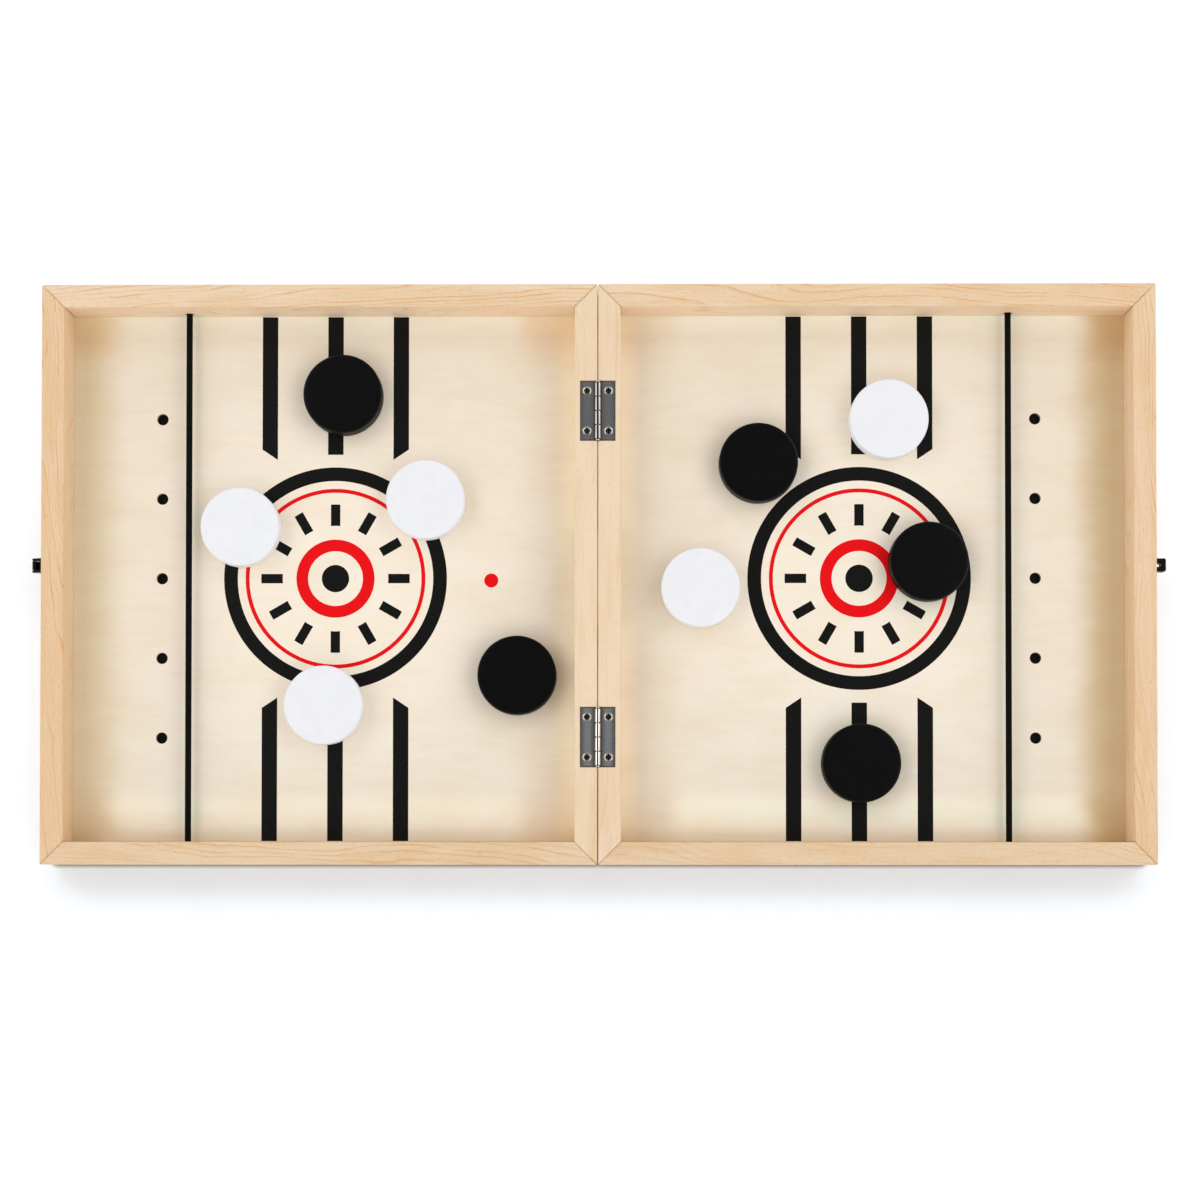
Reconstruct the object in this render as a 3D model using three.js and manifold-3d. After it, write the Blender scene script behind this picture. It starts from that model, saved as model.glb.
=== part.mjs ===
// A folding sling puck game: two open wooden trays hinged side by side, a puck gate under their
// centre rails, an elastic sling cord across each tray, ten pucks and a small latch.
// Millimetres, +Z up. The middle of the open board at table level is the origin, +X runs to the
// right tray and +Y to the far rails.
import * as THREE from "three";
import { mergeVertices } from "three/addons/utils/BufferGeometryUtils.js";
import Module from "manifold-3d";

const wasm = await Module();
wasm.setup();

// Trays
const trayLength = 279.85;
const trayWidth = 292;
const trayHeight = 30;
const traySeam = 0.3;
const railWidth = 11.5;
const railEdgeRadius = 0.6;
const trayCornerRadius = 1.2;
const mitreGap = 0.1;

// Floor boards, held in a groove of the rails
const floorThickness = 3;
const floorRaise = 5;
const grooveDepth = 4;
const grooveClearance = 0.15;
const floorHoleDiameter = 5.8;
const floorHoleDepth = 2.4;
const floorHolePitch = 40.8;
const floorHoleInset = 57;
const floorHoleCount = 5;

// Pucks
const puckDiameter = 40;
const puckHeight = 10;
const puckEdgeRadius = 1;
const puckLift = 0.3;
const puckClearance = 0.5;

// Puck gate, a window through both centre rails
const gateSideClearance = 4;
const gateHeadroom = 4;
const gateCornerRadius = 5;

// Sling cords
const cordDiameter = 3.2;
const cordInset = 71.6;
const cordAboveFloor = 5.5;
const cordHoleClearance = 0.6;
const knotDiameter = 6.4;
const knotLength = 3.8;
const knotTail = 0.8;
const knotRecess = 0.4;
const counterboreClearance = 0.8;

// Hinges
const hingeOffset = 82;
const leafLength = 28.6;
const leafReach = 8.4;
const leafThickness = 0.9;
const leafRecess = 0.25;
const foldGap = 0.3;
const knuckleDiameter = 2.8;
const knuckleCount = 4;
const knuckleGap = 0.3;
const hingePinDiameter = 1.3;
const pinHead = { diameter: 2.4, thickness: 0.5 };
const mortiseEndGap = 0.9;
const mortiseSideGap = 0.5;
const pinClearance = 0.15;
const knuckleClearance = 0.4;

// Screws and nails
const hingeScrew = { head: 4.4, shank: 1.9, length: 9, dome: 0.2 };
const hingeScrewFromEnd = 4.2;
const hingeScrewFromEdge = 3;
const latchScrew = { head: 3, shank: 1.4, length: 7, dome: 0.1 };
const nail = { head: 1.8, headThickness: 0.5, shank: 1, length: 10.5 };
const screwShares = {
  recessArm: 0.6, recessSlot: 0.16, recessDepth: 0.7, tip: 0.22, countersink: 0.5,
  shoulder: 0.28, shoulderRise: 0.8,
};
const screwSink = 0.03;
const pilotClearance = 0.15;

// Latch and keeper
const latchOffset = 4.7;
const latchWidth = 7.1;
const latchPlate = 1.2;
const latchPlateHeight = 19.5;
const latchBelowRim = 2;
const pivotBelowRim = 5;
const earRadius = 1.25;
const earWidth = 1.1;
const earHeight = 6.5;
const latchGap = 0.3;
const armThickness = 1.1;
const armTooth = 1.2;
const armTip = 1;
const armJog = 2.6;
const latchPinDiameter = 0.9;
const latchScrewsBelowRim = [12.5, 18.5];
const keeperWidth = 6.6;
const keeperHeight = 5.5;
const keeperBelowRim = 4;
const keeperGap = { width: 1.9, depth: 3.1 };
const keeperChamfer = 0.6;
const keeperNailInset = 1.3;
const latchGroove = 1.2;

// Clearance under and round a seated piece, and the overrun of every cut
const seatGap = 0.3;
const overrun = 1;

// Places worked out from the sizes above
const boardEnd = traySeam / 2 + trayLength;
const trayCentre = traySeam / 2 + trayLength / 2;
const floorTop = floorRaise + floorThickness;
const innerWidth = trayWidth - 2 * railWidth;
const innerLength = trayLength - 2 * railWidth;
const mitreSetback = mitreGap / Math.SQRT2;
const foldHeight = trayHeight + foldGap / 2;
const leafTop = trayHeight - leafRecess;
const leafBottom = leafTop - leafThickness;
const mortiseFloor = leafBottom - seatGap;
const cordHeight = floorTop + cordAboveFloor;
const cordPlace = boardEnd - cordInset;
const screwAlong = leafLength / 2 - hingeScrewFromEnd;
const screwAcross = leafReach - hingeScrewFromEdge;
const counterboreRadius = knotDiameter / 2 + counterboreClearance;
const counterboreDepth = knotRecess + knotTail + knotLength + seatGap;
const gateWidth = puckDiameter + 2 * gateSideClearance;
const gateTop = floorTop + puckHeight + gateHeadroom;
const latchTop = trayHeight - latchBelowRim;
const latchPlateBottom = latchTop - latchPlateHeight;
const latchPivotHeight = trayHeight - pivotBelowRim;
const earBottom = latchTop - earHeight;
const latchScrewHeights = latchScrewsBelowRim.map((drop) => trayHeight - drop);
const keeperTop = trayHeight - keeperBelowRim;
const keeperBottom = keeperTop - keeperHeight;
const keeperNailHeight = keeperTop - keeperHeight / 2;
const keeperReach = latchPlate + armThickness + 2 * latchGap + 2 * earRadius;
const pivotReach = keeperReach - earRadius;
const armWidth = latchWidth - 2 * earWidth - 2 * latchGap;

// Materials
const finishes = {
  pine: { color: 0xebcdaa, roughness: 0.55, metalness: 0 },
  plywood: { color: 0xf0e4cd, roughness: 0.5, metalness: 0 },
  steel: { color: 0x8c8c8e, roughness: 0.35, metalness: 1 },
  brightSteel: { color: 0xd8d8da, roughness: 0.18, metalness: 1 },
  blackMetal: { color: 0x161412, roughness: 0.4, metalness: 0.3 },
  cord: { color: 0x101010, roughness: 0.8, metalness: 0 },
  blackPuck: { color: 0x121212, roughness: 0.55, metalness: 0 },
  whitePuck: { color: 0xf0f1f6, roughness: 0.55, metalness: 0 },
};

function finish(name) {
  return new THREE.MeshStandardMaterial(finishes[name]);
}

// Geometry and solids
function solid(geometry) {
  const bare = geometry.clone();
  bare.deleteAttribute("normal");
  bare.deleteAttribute("uv");
  const merged = mergeVertices(bare);
  const corners = merged.index.array;
  const kept = [];
  for (let i = 0; i < corners.length; i += 3) {
    const [a, b, c] = corners.slice(i, i + 3);
    if (a !== b && b !== c && c !== a) kept.push(a, b, c);
  }
  return new wasm.Manifold(
    new wasm.Mesh({
      numProp: 3,
      vertProperties: merged.attributes.position.array,
      triVerts: new Uint32Array(kept),
    }),
  );
}

function piece(name, body, finishName) {
  const made = body.getMesh();
  const geometry = new THREE.BufferGeometry();
  geometry.setAttribute("position", new THREE.BufferAttribute(made.vertProperties, 3));
  geometry.setIndex(new THREE.BufferAttribute(made.triVerts, 1));
  geometry.computeVertexNormals();
  const mesh = new THREE.Mesh(geometry, finish(finishName));
  mesh.name = name;
  return mesh;
}

function extruded(shape, depth, steps = 4) {
  return new THREE.ExtrudeGeometry(shape, { depth, bevelEnabled: false, curveSegments: steps });
}

// An outline in X and Y, drawn up from one height to another
function upright(shape, low, high, steps) {
  return solid(extruded(shape, high - low, steps).translate(0, 0, low));
}

// An outline in Y and Z, drawn along X
function alongX(shape, low, high, steps) {
  const turn = new THREE.Matrix4().makeBasis(
    new THREE.Vector3(0, 1, 0),
    new THREE.Vector3(0, 0, 1),
    new THREE.Vector3(1, 0, 0),
  );
  return solid(extruded(shape, high - low, steps).applyMatrix4(turn).translate(low, 0, 0));
}

// An outline in X and Z, drawn along Y
function alongY(shape, low, high, steps) {
  return solid(extruded(shape, high - low, steps).rotateX(Math.PI / 2).translate(0, high, 0));
}

function outline(points) {
  return new THREE.Shape(points.map(([x, y]) => new THREE.Vector2(x, y)));
}

function rectangle(left, bottom, right, top) {
  return outline([
    [left, bottom],
    [right, bottom],
    [right, top],
    [left, top],
  ]);
}

function block(low, high) {
  const size = high.map((value, i) => value - low[i]);
  const middle = high.map((value, i) => (value + low[i]) / 2);
  return solid(new THREE.BoxGeometry(...size).translate(...middle));
}

// A round bar from one end to the other along an axis through (a, b) of the other two
const bars = {
  x: (g, low, a, b) => g.rotateZ(-Math.PI / 2).translate(low, a, b),
  y: (g, low, a, b) => g.translate(a, low, b),
  z: (g, low, a, b) => g.rotateX(Math.PI / 2).translate(a, b, low),
};

function bar(axis, radius, low, high, a, b, sides = 16) {
  const length = high - low;
  const geometry = new THREE.CylinderGeometry(radius, radius, length, sides);
  return solid(bars[axis](geometry.translate(0, length / 2, 0), low, a, b));
}

// A turned body about +Z from its profile of radius and height, lowest point first
function turned(profile, sides) {
  const points = profile.map(([radius, height]) => new THREE.Vector2(radius, height));
  return new THREE.LatheGeometry(points, sides).rotateX(Math.PI / 2);
}

// Rails: each is drawn along X with its outer face on Y = 0 and its inner face towards +Y
function railSection() {
  const r = railEdgeRadius;
  const grooveLow = floorRaise - grooveClearance;
  const grooveHigh = floorTop + grooveClearance;
  const section = new THREE.Shape();
  section.moveTo(r, 0);
  section.lineTo(railWidth - r, 0);
  section.absarc(railWidth - r, r, r, -Math.PI / 2, 0, false);
  section.lineTo(railWidth, grooveLow);
  section.lineTo(railWidth - grooveDepth, grooveLow);
  section.lineTo(railWidth - grooveDepth, grooveHigh);
  section.lineTo(railWidth, grooveHigh);
  section.lineTo(railWidth, trayHeight - r);
  section.absarc(railWidth - r, trayHeight - r, r, 0, Math.PI / 2, false);
  section.lineTo(r, trayHeight);
  section.absarc(r, trayHeight - r, r, Math.PI / 2, Math.PI, false);
  section.lineTo(0, r);
  section.absarc(r, r, r, Math.PI, 1.5 * Math.PI, false);
  return section;
}

function mitredPlan(length) {
  const outer = length / 2 - mitreSetback;
  const inner = outer - railWidth;
  return outline([
    [-outer - overrun, -overrun],
    [outer + overrun, -overrun],
    [inner - overrun, railWidth + overrun],
    [-inner + overrun, railWidth + overrun],
  ]);
}

// The two outer corners of the tray that a rail reaches, rounded
function cornerPlan(length) {
  const end = length / 2;
  const r = trayCornerRadius;
  const plan = new THREE.Shape();
  plan.moveTo(-end + r, 0);
  plan.lineTo(end - r, 0);
  plan.absarc(end - r, r, r, -Math.PI / 2, 0, false);
  plan.lineTo(end, 2 * railWidth);
  plan.lineTo(-end, 2 * railWidth);
  plan.lineTo(-end, r);
  plan.absarc(-end + r, r, r, Math.PI, 1.5 * Math.PI, false);
  return plan;
}

function railBlank(length) {
  return alongX(railSection(), -length / 2 - overrun, length / 2 + overrun, 3)
    .intersect(upright(mitredPlan(length), -overrun, trayHeight + overrun))
    .intersect(upright(cornerPlan(length), -overrun, trayHeight + overrun, 3));
}

// A long rail has the cord's hole, with a counterbore for the knot in its outer face
function longRail(cordAt) {
  const hole = bar(
    "y", cordDiameter / 2 + cordHoleClearance, -overrun, railWidth + overrun, cordAt, cordHeight, 20,
  );
  const counterbore = bar("y", counterboreRadius, -overrun, counterboreDepth, cordAt, cordHeight, 24);
  return railBlank(trayLength).subtract(hole).subtract(counterbore);
}

function endRail(pilots) {
  let rail = railBlank(trayWidth);
  for (const { along, height, radius, depth } of pilots) {
    rail = rail.subtract(bar("y", radius, -overrun, depth, along, height, 12));
  }
  return rail;
}

function gateOpening() {
  const half = gateWidth / 2;
  const r = gateCornerRadius;
  const gate = new THREE.Shape();
  gate.moveTo(-half, floorTop);
  gate.lineTo(half, floorTop);
  gate.lineTo(half, gateTop - r);
  gate.absarc(half - r, gateTop - r, r, 0, Math.PI / 2, false);
  gate.lineTo(-half + r, gateTop);
  gate.absarc(-half + r, gateTop - r, r, Math.PI / 2, Math.PI, false);
  return alongY(gate, -overrun, railWidth + overrun, 6);
}

// The mortise of one hinge leaf, with the groove that clears the knuckle and the pilot holes
function hingeMortise(at) {
  const half = leafLength / 2 + mortiseEndGap;
  const toSeam = -traySeam / 2;
  const reach = leafReach + mortiseSideGap + toSeam;
  const pocket = block(
    [at - half, -overrun, mortiseFloor],
    [at + half, reach, trayHeight + overrun],
  );
  const relief = bar(
    "x", knuckleDiameter / 2 + knuckleClearance, at - half, at + half, toSeam, foldHeight, 20,
  );
  let cut = pocket.add(relief);
  for (const end of [-1, 1]) {
    const along = at + end * screwAlong;
    const depth = leafTop - hingeScrew.length - seatGap;
    const radius = hingeScrew.shank / 2 + pilotClearance;
    cut = cut.add(bar("z", radius, depth, trayHeight, along, screwAcross + toSeam, 12));
  }
  return cut;
}

function centreRail() {
  return railBlank(trayWidth)
    .subtract(gateOpening())
    .subtract(hingeMortise(hingeOffset))
    .subtract(hingeMortise(-hingeOffset));
}

// Floor board, centred on its tray, with the row of blind holes behind the cord
function floorBoard() {
  const halfLength = innerLength / 2 + grooveDepth - seatGap;
  const halfWidth = innerWidth / 2 + grooveDepth - seatGap;
  let board = upright(
    rectangle(-halfLength, -halfWidth, halfLength, halfWidth), floorRaise, floorTop,
  );
  const across = -trayLength / 2 + floorHoleInset;
  for (let i = 0; i < floorHoleCount; i++) {
    const along = (i - (floorHoleCount - 1) / 2) * floorHolePitch;
    const low = floorTop - floorHoleDepth;
    board = board.subtract(bar("z", floorHoleDiameter / 2, low, floorTop + overrun, across, along, 24));
  }
  return board;
}

// Sling cord: a straight run with a knot and a short tail in each counterbore
function slingCord() {
  const radius = cordDiameter / 2;
  const swell = knotDiameter / 2 - radius;
  const end = trayWidth / 2 - knotRecess;
  const knotOut = end - knotTail;
  const steps = 6;
  const half = [[0, end], [radius, end]];
  for (let i = 0; i <= steps; i++) {
    const turn = (Math.PI * i) / steps;
    half.push([radius + swell * Math.sin(turn), knotOut - (knotLength * (1 - Math.cos(turn))) / 2]);
  }
  const other = half.map(([r, y]) => [r, -y]);
  const profile = [...other, ...half.reverse()];
  const points = profile.map(([r, y]) => new THREE.Vector2(r, y));
  return solid(new THREE.LatheGeometry(points, 16));
}

// Screws and nails: drawn point down with the top of the head on Z = 0
function countersunkScrew({ head, shank, length, dome }) {
  const sink = (head - shank) * screwShares.countersink;
  const tip = length * screwShares.tip;
  const profile = [
    [0, -length],
    [shank / 2, -length + tip],
    [shank / 2, -sink],
    [head / 2, 0],
    [head * screwShares.shoulder, dome * screwShares.shoulderRise],
    [0, dome],
  ];
  const arm = (head * screwShares.recessArm) / 2;
  const slot = (head * screwShares.recessSlot) / 2;
  const deep = -sink * screwShares.recessDepth;
  return solid(turned(profile, 20))
    .subtract(block([-arm, -slot, deep], [arm, slot, overrun]))
    .subtract(block([-slot, -arm, deep], [slot, arm, overrun]));
}

function countersink({ head, shank }, thickness) {
  const sink = (head - shank) * screwShares.countersink;
  const top = head / 2 + pilotClearance;
  const profile = [
    [0, -thickness - overrun],
    [shank / 2 + pilotClearance, -thickness - overrun],
    [shank / 2 + pilotClearance, -sink],
    [top, 0],
    [top, overrun],
    [0, overrun],
  ];
  return turned(profile, 20);
}

function roundNail() {
  const profile = [
    [0, -nail.length],
    [nail.shank / 2, -nail.length + nail.shank],
    [nail.shank / 2, -nail.headThickness],
    [nail.head / 2, -nail.headThickness],
    [nail.head / 2, 0],
    [0, 0],
  ];
  return solid(turned(profile, 12));
}

// Hinge leaf for the right tray, about the middle of the hinge, with its share of the knuckles
function hingeLeaf(firstKnuckle) {
  const pitch = leafLength / knuckleCount;
  const radius = knuckleDiameter / 2;
  const edge = radius + knuckleClearance;
  const plateLow = leafBottom - foldHeight;
  const plateHigh = leafTop - foldHeight;
  let leaf = block([edge, -leafLength / 2, plateLow], [leafReach, leafLength / 2, plateHigh]);
  for (let i = firstKnuckle; i < knuckleCount; i += 2) {
    const low = -leafLength / 2 + i * pitch + (i > 0 ? knuckleGap / 2 : 0);
    const high = -leafLength / 2 + (i + 1) * pitch - (i < knuckleCount - 1 ? knuckleGap / 2 : 0);
    leaf = leaf.add(bar("y", radius, low, high, 0, 0, 24));
    leaf = leaf.add(block([0, low, plateLow], [edge + overrun, high, plateHigh]));
  }
  const bore = hingePinDiameter / 2 + pinClearance;
  leaf = leaf.subtract(bar("y", bore, -leafLength / 2 - overrun, leafLength / 2 + overrun, 0, 0, 16));
  for (const end of [-1, 1]) {
    const hole = countersink(hingeScrew, leafThickness);
    hole.translate(screwAcross, end * screwAlong, plateHigh);
    leaf = leaf.subtract(solid(hole));
  }
  return leaf;
}

// Hinge pin, with a small head past each end of the knuckles
function hingePin() {
  const knuckleEnd = leafLength / 2 + pinClearance;
  const end = knuckleEnd + pinHead.thickness;
  const head = pinHead.diameter / 2;
  return bar("y", hingePinDiameter / 2, -end, end, 0, 0, 16)
    .add(bar("y", head, knuckleEnd, end, 0, 0, 16))
    .add(bar("y", head, -end, -knuckleEnd, 0, 0, 16));
}

// Latch pieces, drawn for the left end: X is how far they stand out, turned to -X when placed
function pivotBore(radius) {
  const half = latchWidth / 2 + overrun;
  return bar("y", radius, -half, half, pivotReach, latchPivotHeight, 14);
}

function earOutline() {
  const ear = new THREE.Shape();
  ear.moveTo(0, earBottom);
  ear.lineTo(latchPlate, earBottom);
  ear.lineTo(pivotReach, latchPivotHeight - earRadius);
  ear.absarc(pivotReach, latchPivotHeight, earRadius, -Math.PI / 2, Math.PI / 2, false);
  ear.lineTo(latchPlate, latchTop);
  ear.lineTo(0, latchTop);
  return ear;
}

function latchBase() {
  const half = latchWidth / 2;
  const plate = block([0, -half, latchPlateBottom], [latchPlate, half, latchTop]);
  let base = plate
    .add(alongY(earOutline(), -half, -half + earWidth, 6))
    .add(alongY(earOutline(), half - earWidth, half, 6))
    .subtract(pivotBore(latchPinDiameter / 2 + pinClearance));
  base = base.subtract(bar("z", latchGroove / 2, earBottom, latchTop + overrun, 0, 0, 16));
  for (const height of latchScrewHeights) {
    const hole = countersink(latchScrew, latchPlate).rotateY(Math.PI / 2);
    base = base.subtract(solid(hole.translate(latchPlate, 0, height)));
  }
  return base;
}

function armOutline() {
  const inner = latchPlate + latchGap;
  const outer = inner + armThickness;
  const keeperClosed = 2 * foldHeight - keeperBottom;
  const toothTop = 2 * latchPivotHeight - keeperClosed - latchGap;
  const toothBottom = toothTop - armTooth;
  const jog = latchPivotHeight - armJog;
  const arm = new THREE.Shape();
  arm.moveTo(inner, toothBottom - armTip);
  arm.lineTo(outer, toothBottom - armTip);
  arm.lineTo(outer, toothBottom);
  arm.lineTo(keeperReach, toothBottom);
  arm.lineTo(keeperReach, toothTop);
  arm.lineTo(outer, toothTop);
  arm.lineTo(outer, jog);
  arm.lineTo(pivotReach, latchPivotHeight - earRadius);
  arm.absarc(pivotReach, latchPivotHeight, earRadius, -Math.PI / 2, Math.PI, false);
  arm.lineTo(inner, jog + armThickness);
  return arm;
}

function latchArm() {
  return alongY(armOutline(), -armWidth / 2, armWidth / 2, 8)
    .subtract(pivotBore(latchPinDiameter / 2 + pinClearance));
}

function latchPin() {
  return bar("y", latchPinDiameter / 2, -latchWidth / 2, latchWidth / 2, pivotReach, latchPivotHeight, 14);
}

// The keeper's gap against the rail, with a round end
function keeperGapPlan() {
  const r = keeperGap.width / 2;
  const plan = new THREE.Shape();
  plan.moveTo(-overrun, -r);
  plan.lineTo(keeperGap.depth - r, -r);
  plan.absarc(keeperGap.depth - r, 0, r, -Math.PI / 2, Math.PI / 2, false);
  plan.lineTo(-overrun, r);
  return plan;
}

// Keeper for the right end: a staple that leaves a round-ended gap against the rail
function latchKeeper() {
  const half = keeperWidth / 2;
  const plan = outline([
    [0, -half],
    [keeperReach - keeperChamfer, -half],
    [keeperReach, -half + keeperChamfer],
    [keeperReach, half - keeperChamfer],
    [keeperReach - keeperChamfer, half],
    [0, half],
  ]);
  let keeper = upright(plan, keeperBottom, keeperTop).subtract(
    upright(keeperGapPlan(), keeperBottom - overrun, keeperTop + overrun, 8),
  );
  for (const side of [-1, 1]) {
    const along = side * (half - keeperNailInset);
    const shank = nail.shank / 2 + pilotClearance;
    const head = nail.head / 2 + pilotClearance;
    const seat = keeperReach - nail.headThickness - seatGap;
    keeper = keeper
      .subtract(bar("x", shank, -overrun, keeperReach, along, keeperNailHeight, 12))
      .subtract(bar("x", head, seat, keeperReach + overrun, along, keeperNailHeight, 16));
  }
  return keeper;
}

// Puck: a flat disc with rounded edges
function puck() {
  const radius = puckDiameter / 2;
  const r = puckEdgeRadius;
  const steps = 3;
  const profile = [[0, 0]];
  for (let i = 0; i <= steps; i++) {
    const turn = (Math.PI / 2) * (i / steps);
    profile.push([radius - r + r * Math.sin(turn), r - r * Math.cos(turn)]);
  }
  for (let i = 0; i <= steps; i++) {
    const turn = (Math.PI / 2) * (i / steps);
    profile.push([radius - r + r * Math.cos(turn), puckHeight - r + r * Math.sin(turn)]);
  }
  profile.push([0, puckHeight]);
  return solid(turned(profile, 40));
}

// Where the pucks lie: shares of the free span from the centre rail to the cord, and from the
// middle line to the long rails, as the photograph shows them
const puckPlaceShares = {
  left: {
    black_puck_1: [0.633, 0.815],
    black_puck_2: [0.058, -0.439],
    white_puck_1: [0.971, 0.224],
    white_puck_2: [0.36, 0.345],
    white_puck_3: [0.695, -0.572],
  },
  right: {
    black_puck_3: [0.32, 0.509],
    black_puck_4: [0.88, 0.068],
    black_puck_5: [0.657, -0.83],
    white_puck_4: [0.749, 0.703],
    white_puck_5: [0.129, -0.048],
  },
};

function placedPucks(side, sign) {
  const group = new THREE.Group();
  const reach = puckDiameter / 2 + puckClearance;
  const nearest = traySeam / 2 + railWidth + reach;
  const furthest = cordPlace - cordDiameter / 2 - reach;
  for (const [name, [along, across]] of Object.entries(puckPlaceShares[side])) {
    const disc = piece(name, puck(), name.startsWith("black") ? "blackPuck" : "whitePuck");
    const x = sign * (nearest + along * (furthest - nearest));
    disc.position.set(x, across * (innerWidth / 2 - reach), floorTop + puckLift);
    group.add(disc);
  }
  return group;
}

// Pilot holes in the end rails, for the screws of the latch and the nails of the keeper
function endPilots(side) {
  if (side === "left") {
    const depth = latchScrew.length - latchPlate + seatGap;
    const radius = latchScrew.shank / 2 + pilotClearance;
    return latchScrewHeights.map((height) => ({ along: -latchOffset, height, radius, depth }));
  }
  const depth = nail.length - keeperReach + 2 * seatGap;
  const radius = nail.shank / 2 + pilotClearance;
  const inset = keeperWidth / 2 - keeperNailInset;
  return [-1, 1].map((end) => ({
    along: latchOffset + end * inset, height: keeperNailHeight, radius, depth,
  }));
}

// One tray, drawn as the left one; the right one is the same turned half round
function tray(side) {
  const group = new THREE.Group();
  const farName = side === "left" ? "far" : "near";
  const nearName = side === "left" ? "near" : "far";
  const toCord = trayLength / 2 - cordInset;

  const near = piece(`${side}_${nearName}_rail`, longRail(-toCord), "pine");
  near.position.set(0, -trayWidth / 2, 0);
  const far = piece(`${side}_${farName}_rail`, longRail(toCord), "pine");
  far.position.set(0, trayWidth / 2, 0);
  far.rotation.z = Math.PI;
  const end = piece(`${side}_end_rail`, endRail(endPilots(side)), "pine");
  end.position.set(-trayLength / 2, 0, 0);
  end.rotation.z = -Math.PI / 2;
  const centre = piece(`${side}_centre_rail`, centreRail(), "pine");
  centre.position.set(trayLength / 2, 0, 0);
  centre.rotation.z = Math.PI / 2;
  const cord = piece(`${side}_sling_cord`, slingCord(), "cord");
  cord.position.set(-toCord, 0, cordHeight);
  group.add(near, far, end, centre, cord, piece(`${side}_floor`, floorBoard(), "plywood"));

  const holder = new THREE.Group();
  group.position.x = -trayCentre;
  holder.add(group);
  holder.rotation.z = side === "left" ? 0 : Math.PI;
  return holder;
}

// One butt hinge with its pin and four screws
function hinge(place, offset) {
  const group = new THREE.Group();
  group.position.set(0, offset, foldHeight);
  const right = piece(`${place}_hinge_right_leaf`, hingeLeaf(0), "steel");
  const left = piece(`${place}_hinge_left_leaf`, hingeLeaf(0), "steel");
  left.rotation.z = Math.PI;
  group.add(right, left, piece(`${place}_hinge_pin`, hingePin(), "brightSteel"));
  const height = leafTop - foldHeight - screwSink;
  for (const [side, sign] of [["left", -1], ["right", 1]]) {
    for (const [end, way] of [["near", -1], ["far", 1]]) {
      const name = `${place}_hinge_${side}_screw_${end}`;
      const screw = piece(name, countersunkScrew(hingeScrew), "brightSteel");
      screw.position.set(sign * screwAcross, way * screwAlong, height);
      group.add(screw);
    }
  }
  return group;
}

function latch() {
  const group = new THREE.Group();
  group.position.set(-boardEnd, latchOffset, 0);
  group.rotation.z = Math.PI;
  group.add(piece("latch_base", latchBase(), "blackMetal"));
  group.add(piece("latch_arm", latchArm(), "blackMetal"));
  group.add(piece("latch_pin", latchPin(), "blackMetal"));
  const names = ["latch_screw_upper", "latch_screw_lower"];
  latchScrewHeights.forEach((height, i) => {
    const screw = piece(names[i], countersunkScrew(latchScrew), "blackMetal");
    screw.rotation.y = Math.PI / 2;
    screw.position.set(latchPlate - screwSink, 0, height);
    group.add(screw);
  });
  return group;
}

function keeper() {
  const group = new THREE.Group();
  group.position.set(boardEnd, latchOffset, 0);
  group.add(piece("latch_keeper", latchKeeper(), "blackMetal"));
  for (const [end, way] of [["near", -1], ["far", 1]]) {
    const pin = piece(`keeper_nail_${end}`, roundNail(), "blackMetal");
    pin.rotation.y = Math.PI / 2;
    pin.position.set(keeperReach - seatGap, way * (keeperWidth / 2 - keeperNailInset), keeperNailHeight);
    group.add(pin);
  }
  return group;
}

const game = new THREE.Group();
game.add(tray("left"), tray("right"));
game.add(hinge("far", hingeOffset), hinge("near", -hingeOffset));
game.add(latch(), keeper());
game.add(placedPucks("left", -1), placedPucks("right", 1));

export default game;
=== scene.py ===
"""Looks for a folding sling puck game: pine trays, printed plywood floors, elastic cords, hinges,
a latch and ten turned pucks. Metres, +Z up, in the frame of the CAD model."""

import math
import random

import bpy
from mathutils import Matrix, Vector


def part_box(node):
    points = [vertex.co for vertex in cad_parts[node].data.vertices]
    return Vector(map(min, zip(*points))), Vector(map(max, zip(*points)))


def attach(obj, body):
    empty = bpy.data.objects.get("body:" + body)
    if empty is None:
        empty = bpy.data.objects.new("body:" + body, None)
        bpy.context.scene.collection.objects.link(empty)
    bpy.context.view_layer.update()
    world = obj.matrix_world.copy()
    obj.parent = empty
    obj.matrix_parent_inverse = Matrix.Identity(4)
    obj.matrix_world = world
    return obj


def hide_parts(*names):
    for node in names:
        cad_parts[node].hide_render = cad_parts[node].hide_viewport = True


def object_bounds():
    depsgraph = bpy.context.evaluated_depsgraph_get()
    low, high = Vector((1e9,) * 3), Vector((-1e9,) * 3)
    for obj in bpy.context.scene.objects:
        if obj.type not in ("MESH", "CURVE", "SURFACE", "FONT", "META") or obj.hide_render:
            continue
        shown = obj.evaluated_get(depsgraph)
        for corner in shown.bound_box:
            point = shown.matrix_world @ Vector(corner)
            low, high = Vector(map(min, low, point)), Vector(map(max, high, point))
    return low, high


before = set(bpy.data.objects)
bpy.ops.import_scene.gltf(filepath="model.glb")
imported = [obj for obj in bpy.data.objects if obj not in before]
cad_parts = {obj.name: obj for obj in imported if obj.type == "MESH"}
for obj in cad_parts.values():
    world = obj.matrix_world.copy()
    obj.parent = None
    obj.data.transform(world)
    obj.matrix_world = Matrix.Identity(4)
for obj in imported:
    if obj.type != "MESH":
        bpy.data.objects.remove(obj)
cad_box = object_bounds()
MM = 0.001
WHITE = (1, 1, 1, 1)


def linear(red, green, blue):
    """A colour of the screen, 0 to 255, as the shader's own red, green, blue and alpha."""
    def one(value):
        share = value / 255
        return share / 12.92 if share <= 0.04045 else ((share + 0.055) / 1.055) ** 2.4

    return (one(red), one(green), one(blue), 1.0)


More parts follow.
